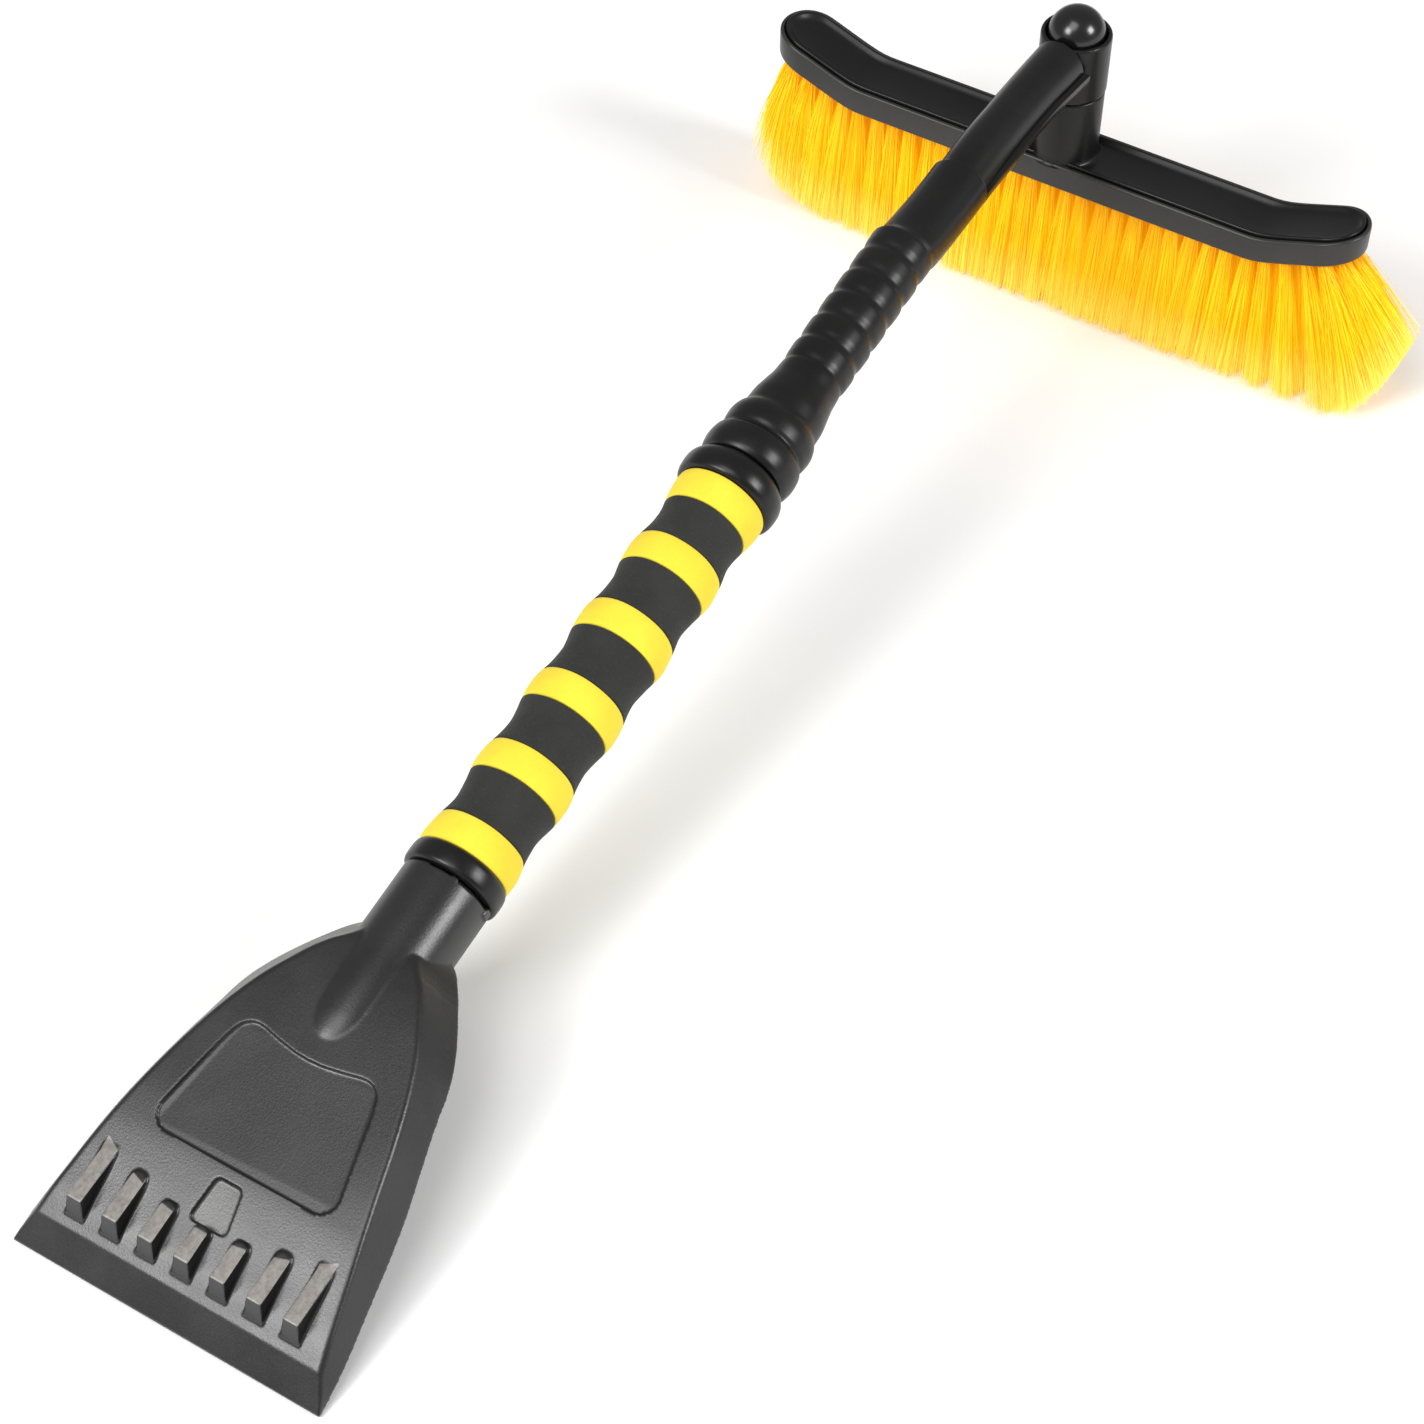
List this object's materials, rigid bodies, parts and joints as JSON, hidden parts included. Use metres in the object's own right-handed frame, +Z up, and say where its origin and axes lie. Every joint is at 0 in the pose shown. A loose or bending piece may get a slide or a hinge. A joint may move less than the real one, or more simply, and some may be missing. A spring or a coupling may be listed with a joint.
{
  "type": "snow brush with ice scraper",
  "caption": "Snow brush with a swivelling head of yellow bristles, a push-button lock, a banded foam grip and a toothed ice scraper on the handle's end.",
  "frame": {"origin": "centre of the bounding box in X and Y, on the resting plane that the blade's edge and the bristle tips touch", "axes": "+X from the scraper toward the brush head, +Z up from the resting plane, +Y along the brush head to the left"},
  "size_m": [0.6516, 0.3186, 0.1419],
  "materials": {
    "scraper_plastic": "fine spark-eroded grain, moulded polycarbonate",
    "yellow_foam": "closed-cell EVA foam, skinned and matt",
    "black_foam": "closed-cell EVA foam, skinned and matt",
    "tube_aluminium": "drawn tube",
    "collar_plastic": "satin moulded plastic",
    "arm_plastic": "satin moulded plastic",
    "plated_steel": "zinc plated",
    "button_gloss": "polished moulded plastic",
    "cog_plastic": "glass-filled nylon",
    "cover_plastic": "satin moulded plastic",
    "block_plastic": "satin moulded plastic",
    "bristle_fibre": "translucent yellow monofilament"
  },
  "bodies": {
    "handle": {"scraper_head": "scraper_plastic", "scraper_pin": "plated_steel", "grip_end_collar": "collar_plastic", "foam_yellow_1": "yellow_foam", "foam_yellow_2": "yellow_foam", "foam_yellow_3": "yellow_foam", "foam_yellow_4": "yellow_foam", "foam_yellow_5": "yellow_foam", "foam_yellow_6": "yellow_foam", "foam_black_1": "black_foam", "foam_black_2": "black_foam", "foam_black_3": "black_foam", "foam_black_4": "black_foam", "foam_black_5": "black_foam", "grip_top_collar": "collar_plastic", "handle_tube": "tube_aluminium", "brush_arm": "arm_plastic", "arm_screw": "plated_steel", "arm_under_cover": "arm_plastic", "cover_screw_1": "plated_steel", "cover_screw_2": "plated_steel"},
    "brush_head": {"brush_cover": "cover_plastic", "brush_block": "block_plastic", "bristle_row_1": "bristle_fibre", "bristle_row_2": "bristle_fibre", "bristle_row_3": "bristle_fibre", "bristle_row_4": "bristle_fibre", "bristle_row_5": "bristle_fibre", "retaining_clip": "plated_steel", "button_spring": "plated_steel"},
    "button": {"release_button": "button_gloss", "lock_cog": "cog_plastic", "button_screw": "plated_steel"}
  },
  "joints": [
    {"name": "brush_swivel", "type": "hinge", "parent": "handle", "child": "brush_head", "pos_m": [0.30871, 0, 0.10346], "axis": [0, 0, 1], "continuous": true},
    {"name": "button_press", "type": "slide", "parent": "brush_head", "child": "button", "axis": [0, 0, -1], "range_m": [0, 0.005], "stiffness_N_per_m": 600, "springref_m": -0.004, "deforming": ["button_spring"]}
  ]
}
